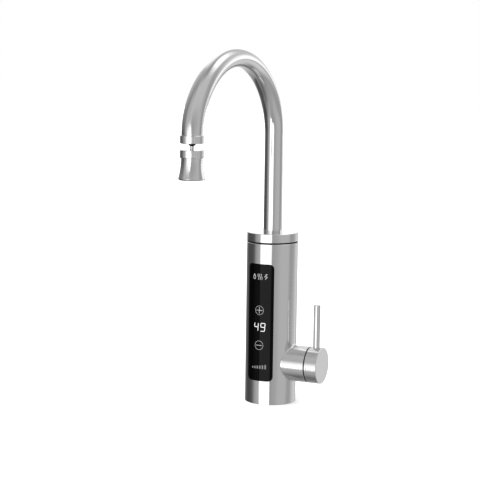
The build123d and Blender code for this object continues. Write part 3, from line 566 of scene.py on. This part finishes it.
# Black glass: a hard gloss with a weak reflection, and faint wipe marks in the gloss
glassFinish = {
    "colour": (0.0003, 0.0003, 0.0004),
    "roughness": 0.02,
    "wipedRoughness": 0.045,
    "wipeSize": 22.0,           # mm
    "wipeRange": (0.35, 0.7),
    "ior": 1.45,
    "specular": 0.145,
}


def glassMaterial(finish):
    material, tree, shader = newMaterial("blackGlass", finish["colour"], finish["roughness"])
    shader.inputs["IOR"].default_value = finish["ior"]
    shader.inputs["Specular IOR Level"].default_value = finish["specular"]
    wipes = skinGrain(tree, mouldedGrain, MottleSize=finish["wipeSize"])["Mottle"]
    gloss = spread(tree, wipes, *finish["wipeRange"], finish["roughness"], finish["wipedRoughness"])
    tree.links.new(gloss, shader.inputs["Roughness"])
    return material


# Light of the display's marks: colour and strength of each kind
lightFinish = {
    "digits": ((1.0, 1.0, 1.0), 1.1),
    "keys": ((0.97, 0.98, 1.0), 0.75),
    "icons": ((0.97, 0.98, 1.0), 0.5),
    "levelMarks": ((0.97, 0.98, 1.0), 0.24),
}
printFinish = {
    "unlit": (0.02, 0.02, 0.02),
    "roughness": 0.4,
    "mottleSize": 3.0,          # mm
    "mottleRange": (0.3, 0.7),
    "dimmest": 0.93,            # of the light, in the mottle's dark spots
}


def litPrint(name, finish):
    colour, strength = lightFinish[name]
    material, tree, shader = newMaterial(name + "Light", finish["unlit"], finish["roughness"])
    mottle = skinGrain(tree, mouldedGrain, MottleSize=finish["mottleSize"])["Mottle"]
    level = spread(tree, mottle, *finish["mottleRange"], 0.0, 1.0)
    tree.links.new(blendOf(tree, "RGBA", level, shaded(colour, finish["dimmest"]), shaded(colour), x=-200),
                   shader.inputs["Emission Color"])
    shader.inputs["Emission Strength"].default_value = strength
    return material


brassColour = (0.78, 0.60, 0.30)
materials = {
    "housing": housingSteel("housingSteel"),
    "tube": tubeSteel("tubeSteel"),
    "body": turnedSteel("bodySteel", bodyPoint, upright, towardsFront),
    "knob": turnedSteel("knobSteel", valveMiddle, valveAxis, upright,
                        roughness=0.16, rippleDepth=130.0),
    "lever": turnedSteel("leverSteel", leverPoint, upright, towardsFront),
    "tip": turnedSteel("tipSteel", tipPoint, upright, towardsFront),
    "stem": turnedSteel("stemSteel", tipPoint, upright, towardsFront, roughness=0.35, anisotropic=0.0),
    "black_glass": glassMaterial(glassFinish),
    "black_rubber": moulded("blackRubber", (0.006, 0.006, 0.006), 0.7,
                            pebble=0.3, bumpHeight=0.02, specular=0.12),
    "black_plastic": moulded("blackPlastic", (0.002, 0.002, 0.002), 0.3,
                             pebble=0.5, bumpHeight=0.002, specular=0.15),
    "grey_nylon": moulded("greyNylon", (0.16, 0.16, 0.17), 0.5, pebble=0.35, bumpHeight=0.03),
    "white_plastic": moulded("whitePlastic", (0.75, 0.75, 0.74), 0.4, pebble=0.35),
    "ceramic": moulded("ceramic", (0.86, 0.85, 0.82), 0.22, pebble=0.12, bumpHeight=0.002),
    "dark_component": moulded("darkComponent", (0.05, 0.05, 0.055), 0.5, pebble=0.25, bumpHeight=0.02),
    "circuit_board": boardMaterial("circuitBoard", boardFinish),
    "brass": machined("brassBody", brassColour, 0.25, bodyPoint, upright, towardsFront),
    "valveBrass": machined("valveBrass", brassColour, 0.25, valveMiddle, valveAxis, upright),
    "inner_steel": machined("innerSteel", (0.60, 0.60, 0.60), 0.3, bodyPoint, upright, towardsFront),
}
ownMaterial = {
    "housing_shell": "housing", "top_cap": "body", "spout_tube": "tube", "handle_knob": "knob",
    "lever_rod": "lever", "outlet_collar": "tip", "ball_stem": "stem", "aerator_ring": "tip",
    "aerator_bell": "tip", "valve_body": "valveBrass", "cartridge_nut": "valveBrass",
    "cartridge_spindle": "valveBrass",
}
for name, piece in nodes.items():
    piece.data.materials.clear()
    piece.data.materials.append(materials[ownMaterial.get(name, slotOf[name])])
print("materials assigned:", len(materials))


# Surfaces from grids of points
creaseAngle = 35.0      # degrees, past which an edge is shaded sharp


def volumeOf(points, quads):
    # Six times the volume inside: the sum of the triple products of the corners of every triangle
    a, b, c, d = (points[quads[:, k]] for k in range(4))
    return np.einsum("ij,ij->", a, np.cross(b, c)) + np.einsum("ij,ij->", a, np.cross(c, d))


def gridQuads(rows, columns, around, along):
    # Corners of the squares of a grid that may close round its columns and along its rows. A square's
    # first corner is its row times the number of columns, plus its column
    i, j = np.meshgrid(np.arange(rows if along else rows - 1),
                       np.arange(columns if around else columns - 1), indexing="ij")
    nextI, nextJ = (i + 1) % rows, (j + 1) % columns
    corners = (i * columns + j, i * columns + nextJ, nextI * columns + nextJ, nextI * columns + j)
    return np.stack(corners, -1).reshape(-1, 4)


def addPiece(name, points, quads, material, body):
    # Places are given in mm
    mesh = bpy.data.meshes.new(name)
    mesh.from_pydata((points * mm).tolist(), [], quads.tolist())
    mesh.validate()
    mesh.shade_smooth()
    mesh.set_sharp_from_angle(angle=radians(creaseAngle))
    mesh.materials.append(materials[material])
    piece = bpy.data.objects.new(name, mesh)
    bpy.context.scene.collection.objects.link(piece)
    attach(piece, body)
    return piece


# Spout: a riser, three arcs that run on from each other, and a short straight end
spoutSetup = {
    "riserFoot": 166.0,
    "riserTop": 288.1,
    "bends": ((74.0, 34.0), (87.35, 116.6), (58.0, 29.4)),     # radius in mm and degrees turned
    "endHeight": 291.15,
    "riserRadius": 10.0,
    "tipRadius": 10.5,
    "wall": 1.0,
    "flattening": 0.08,         # the arch is a little wider than it is deep
    "flatteningRise": 2.0,      # how fast the flattening grows from the ends of the arch
    "columns": 144,
    "riserRows": 40,
    "degreesPerRow": 1.0,
    "endRows": 3,
}


def spoutLine(setup):
    # Heights and places of the tube's axis, the heading from the upright, and the share of the arch
    # that lies behind: along an arc the place moves on by the radius times the turned sine and cosine
    back = [np.zeros(setup["riserRows"])]
    height = [np.linspace(setup["riserFoot"], setup["riserTop"], setup["riserRows"])]
    heading = [np.zeros(setup["riserRows"])]
    share = [np.zeros(setup["riserRows"])]
    whole = sum(radius * radians(angle) for radius, angle in setup["bends"])
    turned, gone = 0.0, 0.0
    for radius, angle in setup["bends"]:
        count = int(angle / setup["degreesPerRow"]) + 2
        part = np.linspace(0, radians(angle), count)[1:]
        theta = turned + part
        back.append(back[-1][-1] + radius * (np.cos(theta) - np.cos(turned)))
        height.append(height[-1][-1] + radius * (np.sin(theta) - np.sin(turned)))
        heading.append(theta)
        share.append((gone + radius * part) / whole)
        turned, gone = turned + radians(angle), gone + radius * radians(angle)
    endRows = setup["endRows"]
    back.append(np.full(endRows, back[-1][-1]))
    height.append(np.linspace(height[-1][-1], setup["endHeight"], endRows + 1)[1:])
    heading.append(np.full(endRows, turned))
    share.append(np.ones(endRows))
    return [np.concatenate(column) for column in (back, height, heading, share)]


def buildSpout(setup):
    # Ovals carried along the line, the outer wall forwards and the inner wall backwards, joined at both ends
    y, z, heading, share = spoutLine(setup)
    angle = np.linspace(0, 2 * pi, setup["columns"], endpoint=False)
    radius = setup["riserRadius"] + (setup["tipRadius"] - setup["riserRadius"]) * share
    flattening = setup["flattening"] * np.minimum(1, setup["flatteningRise"] * np.sin(pi * share))
    walls = []
    for inset in (0.0, setup["wall"]):
        wide = (radius * (1 + flattening) - inset)[:, None]
        deep = (radius * (1 - flattening) - inset)[:, None]
        walls.append(np.stack([wide * np.cos(angle),
                               y[:, None] + deep * np.sin(angle) * np.cos(heading)[:, None],
                               z[:, None] + deep * np.sin(angle) * np.sin(heading)[:, None]], -1))
    grid = np.concatenate([walls[0], walls[1][::-1]])
    step = np.hypot(np.diff(y), np.diff(z))
    length = np.concatenate([[0], np.cumsum(step)])
    lengthway = np.concatenate([length, length[::-1] + setup["wall"]])
    rows, columns = grid.shape[:2]
    quads = gridQuads(rows, columns, True, True)
    i, j = np.divmod(quads[:, 0], columns)
    points = grid.reshape(-1, 3)
    flipped = volumeOf(points, quads) < 0
    if flipped:
        quads = quads[:, ::-1]
    piece = addPiece("spoutTube", points, quads, "tube", "spout")
    # the map: the arc round a mean radius, and the length from the foot, both in metres
    arcStep = 2 * pi * setup["riserRadius"] / columns
    across = np.stack([j, j + 1, j + 1, j], -1) * arcStep
    near, far = lengthway[i], lengthway[(i + 1) % rows]
    down = np.stack([near, near, far, far], -1)
    if flipped:
        across, down = across[:, ::-1], down[:, ::-1]
    laid = piece.data.uv_layers.new(name="laid")
    laid.data.foreach_set("uv", (np.stack([across, down], -1) * mm).ravel())
    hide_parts("spout_tube")


buildSpout(spoutSetup)
print("spout swept")


# Display marks, drawn flat as (sideways, upwards) in mm and wrapped round the glass
markSetup = {
    "proud": 0.03,
    "thickness": 0.04,
    "keyHeights": (102.0, 64.2),
    "keyRadius": 4.75,
    "ringLine": 0.25,
    "armLine": 0.45,
    "armReach": 3.5,
    "digits": ((4, -3.5), (9, 4.2)),        # figure and its middle, sideways
    "digitMiddle": 84.0,
    "digitSize": (4.6, 8.55),               # between the middles of the strokes
    "digitStroke": 0.85,
    "digitLean": 4.5,
    "iconMiddle": 138.1,
    "iconHeight": 6.4,
    "iconPlaces": (-6.7, 0.2, 7.1),
    "waveGap": 2.0,
    "waveWidth": 0.75,
    "waveSwing": 0.55,
    "dropFullness": 0.36,                   # half width over height, before it is rounded and thinned
    "dropRoundness": 0.6,
    "dropThinning": (0.75, 1.5),            # how much, and how late towards the tip
    # level, left side and right side of the flash, over its height
    "boltOutline": ((0.5, -0.02, 0.24), (0.06, -0.26, 0.04), (0.06, -0.26, 0.26),
                    (-0.06, -0.26, 0.26), (-0.06, -0.04, 0.26), (-0.5, -0.16, -0.15)),
    "levelMiddle": 41.1,
    "levelBars": 6,
    "levelSpacing": 3.05,
    "levelWidth": 1.7,
    "levelHeights": (2.0, 4.6),
}


leastPoint = 0.02       # share of a pointed stroke's width that is left at its very ends


def barPatch(start, end, width, steps=12, pointed=False):
    # A straight stroke; a pointed one narrows to its ends over half its width
    start, end = np.array(start, float), np.array(end, float)
    t = np.linspace(0, 1, steps)[:, None]
    run = end - start
    length = np.hypot(*run)
    side = np.array([-run[1], run[0]]) / length
    half = width / 2
    if pointed:
        half = half * np.clip(np.minimum(t, 1 - t) * length / half, leastPoint, 1)
    line = start + run * t
    return np.stack([line - side * half, line + side * half], 1)


def ringPatch(centre, radius, line, steps=72):
    # A circle with a line's width, closed on itself
    a = np.linspace(0, 2 * pi, steps + 1)[:, None]
    around = np.concatenate([np.cos(a), np.sin(a)], 1)
    return np.stack([np.array(centre) + around * (radius - line / 2),
                     np.array(centre) + around * (radius + line / 2)], 1)


def dropPatch(centre, height, setup, steps=48):
    # A drop: half widths follow the sine of the height, thinned towards the tip
    t = np.linspace(0, 1, steps)
    thinning, lateness = setup["dropThinning"]
    rounded = np.sin(pi * t) ** setup["dropRoundness"]
    half = height * setup["dropFullness"] * rounded * (1 - thinning * t ** lateness)
    z = centre[1] - height / 2 + height * t
    return np.stack([np.stack([centre[0] - half, z], -1), np.stack([centre[0] + half, z], -1)], 1)


def wavePatch(centre, height, setup, steps=36):
    # A wavy upright stroke: sideways it follows a sine of the height
    t = np.linspace(0, 1, steps)
    half = setup["waveWidth"] / 2
    x = centre[0] + setup["waveSwing"] * np.sin(2 * pi * t)
    z = centre[1] - height / 2 + height * t
    return np.stack([np.stack([x - half, z], -1), np.stack([x + half, z], -1)], 1)


def boltPatch(centre, height, setup):
    # A flash: its left and right outlines at a few heights from the top to the tip
    levels, left, right = np.array(setup["boltOutline"]).T * height
    return np.stack([np.stack([centre[0] + left, centre[1] + levels], -1),
                     np.stack([centre[0] + right, centre[1] + levels], -1)], 1)


def digitPatches(figure, middle, setup):
    # A figure made of up to seven pointed strokes, leaning a little
    width, height = setup["digitSize"]
    x, z = width / 2, height / 2
    strokes = {
        "top": ((-x, z), (x, z)), "topRight": ((x, z), (x, 0)), "lowRight": ((x, 0), (x, -z)),
        "low": ((x, -z), (-x, -z)), "lowLeft": ((-x, -z), (-x, 0)), "topLeft": ((-x, 0), (-x, z)),
        "bar": ((-x, 0), (x, 0)),
    }
    lit = {
        4: ("topRight", "lowRight", "topLeft", "bar"),
        9: ("top", "topRight", "lowRight", "low", "topLeft", "bar"),
    }
    found = []
    for label in lit[figure]:
        patch = barPatch(*strokes[label], setup["digitStroke"], steps=14, pointed=True)
        leaned = patch[..., 0] + patch[..., 1] * np.tan(radians(setup["digitLean"]))
        found.append(np.stack([leaned + middle, patch[..., 1] + setup["digitMiddle"]], -1))
    return found


glassRadius = -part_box("display_window")[0][1] / mm


def addMarks(name, patches, material, setup):
    # Wraps the flat patches round the glass: the angle is the sideways distance over the radius
    radius = glassRadius + setup["proud"]
    points, quads, used = [], [], 0
    for patch in patches:
        rows, columns = patch.shape[:2]
        angle = patch[..., 0] / radius
        points.append(np.stack([radius * np.sin(angle), -radius * np.cos(angle), patch[..., 1]],
                               -1).reshape(-1, 3))
        square = gridQuads(rows, columns, False, False)
        corner = patch.reshape(-1, 2)[square]
        first, second = corner[:, 1] - corner[:, 0], corner[:, 2] - corner[:, 0]
        if np.sum(first[:, 0] * second[:, 1] - first[:, 1] * second[:, 0]) < 0:
            square = square[:, ::-1]
        quads.append(square + used)
        used += rows * columns
    piece = addPiece(name, np.concatenate(points), np.concatenate(quads), material, "body")
    solid = piece.modifiers.new("thickness", "SOLIDIFY")
    solid.thickness = setup["thickness"] * mm
    solid.offset = -1


def buildMarks(setup):
    # Two keys, a plus and a minus, then the temperature, the state signs and the level bars
    keys = []
    reach = setup["armReach"]
    for height, arms in zip(setup["keyHeights"], (2, 1)):
        keys.append(ringPatch((0, height), setup["keyRadius"], setup["ringLine"]))
        keys.append(barPatch((-reach, height), (reach, height), setup["armLine"]))
        if arms == 2:
            keys.append(barPatch((0, height - reach), (0, height + reach), setup["armLine"]))
    addMarks("keyMarks", keys, "keys", setup)
    digits = []
    for figure, middle in setup["digits"]:
        digits += digitPatches(figure, middle, setup)
    addMarks("temperatureDigits", digits, "digits", setup)
    middle, tall = setup["iconMiddle"], setup["iconHeight"]
    dropPlace, wavePlace, boltPlace = setup["iconPlaces"]
    icons = [dropPatch((dropPlace, middle), tall, setup), boltPatch((boltPlace, middle), tall, setup)]
    for side in (-1, 0, 1):
        icons.append(wavePatch((wavePlace + side * setup["waveGap"], middle), tall, setup))
    addMarks("stateIcons", icons, "icons", setup)
    bars = []
    lowest, highest = setup["levelHeights"]
    for index in range(setup["levelBars"]):
        share = index / (setup["levelBars"] - 1)
        side = (share - 0.5) * (setup["levelBars"] - 1) * setup["levelSpacing"]
        foot = setup["levelMiddle"] - highest / 2
        top = foot + lowest + (highest - lowest) * share
        bars.append(barPatch((side, foot), (side, top), setup["levelWidth"], steps=4))
    addMarks("levelMarks", bars, "levelMarks", setup)


for name in lightFinish:
    materials[name] = litPrint(name, printFinish)
buildMarks(markSetup)
print("display marks wrapped")


# Inlet socket with its real thread: a half-inch pipe thread, 14 turns to the inch
threadSetup = {
    "pitch": 1.814,
    "crestRadius": 9.316,       # tips of the inside thread
    "rootRadius": 10.478,
    "columns": 96,
    "rowsPerTurn": 12,
    "socketRadius": 11.2,
    "socketTop": 16.6,
    "stubRadius": 8.0,
    "stubTop": 23.0,
    "grooveLow": 19.0,
    "grooveWidth": 1.8,
    "grooveRadius": 6.9,
    "bore": 6.0,
    "threadLength": 13.0,
    "seatRadius": 9.7,
    "seatTop": 14.6,
    "runOut": 1.2,
}


def buildInletSocket(setup):
    # A profile of (radius, height) turned about the socket's axis. On the thread's rows the radius swings
    # between crest and root with the height in pitches less the turn round the axis
    threadRows = int(setup["threadLength"] / setup["pitch"] * setup["rowsPerTurn"])
    threadHeights = np.linspace(setup["threadLength"], 0, threadRows)
    profile = [
        (setup["socketRadius"], 0), (setup["socketRadius"], setup["socketTop"]),
        (setup["stubRadius"], setup["socketTop"]), (setup["stubRadius"], setup["grooveLow"]),
        (setup["grooveRadius"], setup["grooveLow"]),
        (setup["grooveRadius"], setup["grooveLow"] + setup["grooveWidth"]),
        (setup["stubRadius"], setup["grooveLow"] + setup["grooveWidth"]),
        (setup["stubRadius"], setup["stubTop"]), (setup["bore"], setup["stubTop"]),
        (setup["bore"], setup["seatTop"]), (setup["seatRadius"], setup["seatTop"]),
        (setup["seatRadius"], setup["threadLength"]),
    ]
    radii = np.array([radius for radius, height in profile])
    heights = np.array([height for radius, height in profile])
    angle = np.linspace(0, 2 * pi, setup["columns"], endpoint=False)
    phase = threadHeights[:, None] / setup["pitch"] - angle / (2 * pi)
    depth = 0.5 - 0.5 * np.cos(2 * pi * phase)
    fade = np.clip(np.minimum(threadHeights, setup["threadLength"] - threadHeights) / setup["runOut"], 0, 1)
    swing = setup["rootRadius"] - setup["crestRadius"]
    threadRadii = setup["crestRadius"] + swing * depth * fade[:, None]
    radius = np.concatenate([np.repeat(radii[:, None], setup["columns"], 1), threadRadii])
    height = np.concatenate([heights, threadHeights])[:, None] + 0 * angle
    low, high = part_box("inlet_socket")
    centre = ((low[0] + high[0]) / 2 / mm, (low[1] + high[1]) / 2 / mm)
    points = np.stack([centre[0] + radius * np.cos(angle), centre[1] + radius * np.sin(angle), height],
                      -1).reshape(-1, 3)
    quads = gridQuads(radius.shape[0], setup["columns"], True, True)
    if volumeOf(points, quads) < 0:
        quads = quads[:, ::-1]
    piece = addPiece("inletSocket", points, quads, "brass", "body")
    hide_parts("inlet_socket")


buildInletSocket(threadSetup)
print("inlet thread cut")


# Soft nozzles on the spray plate, one round each hole
nozzleSetup = {
    "circles": ((3.2, 6), (6.0, 12), (8.8, 18)),        # radius in mm and count
    # radius and height in mm, from the plate's face
    "outline": ((0.62, 0.0), (1.05, 0.0), (0.95, -0.55), (0.8, -0.8), (0.5, -0.8), (0.45, -0.5)),
    "columns": 14,
}


def buildNozzles(setup):
    # One outline of (radius, height) turned about each hole's axis
    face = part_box("spray_plate")[0][2] / mm
    outline = np.array(setup["outline"])
    angle = np.linspace(0, 2 * pi, setup["columns"], endpoint=False)
    places = []
    for radius, count in setup["circles"]:
        turn = np.linspace(0, 2 * pi, count, endpoint=False)
        places.append(np.stack([tipPlace.x / mm + radius * np.cos(turn),
                                tipPlace.y / mm + radius * np.sin(turn)], -1))
    places = np.concatenate(places)
    single = np.stack([outline[:, :1] * np.cos(angle), outline[:, :1] * np.sin(angle),
                       outline[:, 1:] + 0 * angle], -1).reshape(-1, 3)
    quads = gridQuads(len(outline), setup["columns"], True, True)
    if volumeOf(single, quads) < 0:
        quads = quads[:, ::-1]
    shifts = np.column_stack([places, np.full(len(places), face)])
    points = (shifts[:, None] + single).reshape(-1, 3)
    allQuads = (np.arange(len(places))[:, None, None] * len(single) + quads).reshape(-1, 4)
    addPiece("sprayNozzles", points, allQuads, "grey_nylon", "spray_head")


buildNozzles(nozzleSetup)
print("nozzles added")

# Pale floor, left out of the reflections so that the steel shows the studio alone
floorSetup = {"half": 6.0, "height": -0.0002, "colour": (0.93, 0.93, 0.93), "roughness": 0.9}


def addFloor(setup):
    half, height = setup["half"], setup["height"]
    mesh = bpy.data.meshes.new("floor")
    corners = [(-half, -half, height), (half, -half, height), (half, half, height), (-half, half, height)]
    mesh.from_pydata(corners, [], [(0, 1, 2, 3)])
    mesh.materials.append(newMaterial("paleFloor", setup["colour"], setup["roughness"])[0])
    floor = bpy.data.objects.new("floor", mesh)
    bpy.context.scene.collection.objects.link(floor)
    floor.visible_glossy = False


addFloor(floorSetup)
